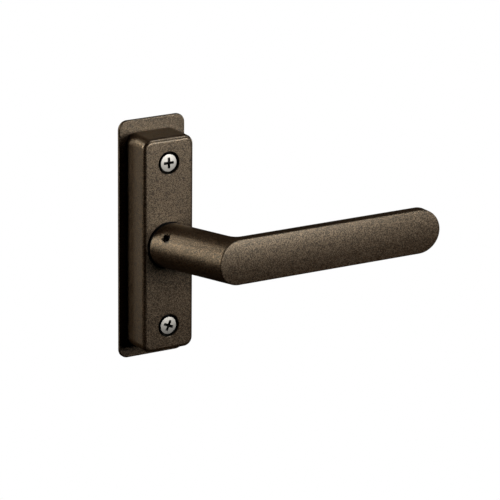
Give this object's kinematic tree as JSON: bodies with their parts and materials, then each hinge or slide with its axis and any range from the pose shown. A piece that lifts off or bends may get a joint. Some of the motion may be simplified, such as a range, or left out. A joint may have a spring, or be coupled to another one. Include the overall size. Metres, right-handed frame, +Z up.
{
  "type": "door lever handle",
  "caption": "Lever handle trim for a narrow door stile: a leaning flat lever on a slim drafted escutcheon with a back plate and a sprung square spindle.",
  "frame": {"origin": "on the spindle's axis, in the plane of the door's face, which is the plate's back face", "axes": "+Z up, +X along the lever towards its tip, +Y into the door, so the user stands on the -Y side"},
  "size_m": [0.1481, 0.0831, 0.1208],
  "materials": {
    "bronze_coat": "dark bronze satin coat with a fine speckle",
    "black_acetal": "black moulded acetal",
    "natural_acetal": "natural acetal",
    "black_steel": "black oxide",
    "plated_steel": "zinc plated",
    "sintered_steel": "sintered, oiled",
    "spring_steel": "spring steel",
    "bright_screw": "bright stainless, satin"
  },
  "bodies": {
    "trim": {"back_plate": "bronze_coat", "escutcheon": "bronze_coat", "front_bush": "black_acetal", "rear_bush": "natural_acetal", "return_spring": "spring_steel", "thrust_washer": "natural_acetal", "wave_washer": "spring_steel", "anchor_pin": "plated_steel", "rest_stop_pin": "plated_steel", "travel_stop_pin": "plated_steel", "mounting_screw_upper": "bright_screw", "mounting_screw_lower": "bright_screw", "plate_screw_1": "plated_steel", "plate_screw_2": "plated_steel", "plate_screw_3": "plated_steel", "plate_screw_4": "plated_steel"},
    "lever_assembly": {"lever": "bronze_coat", "set_screw": "black_steel", "spindle": "plated_steel", "spring_hub": "sintered_steel", "hub_pin": "plated_steel"}
  },
  "joints": [
    {"name": "lever_turn", "type": "hinge", "parent": "trim", "child": "lever_assembly", "pos_m": [0, 0, 0], "axis": [0, 1, 0], "range_deg": [0, 45], "stiffness_Nm_per_rad": 0.9, "springref_deg": -40.11, "deforming": ["return_spring"]}
  ]
}
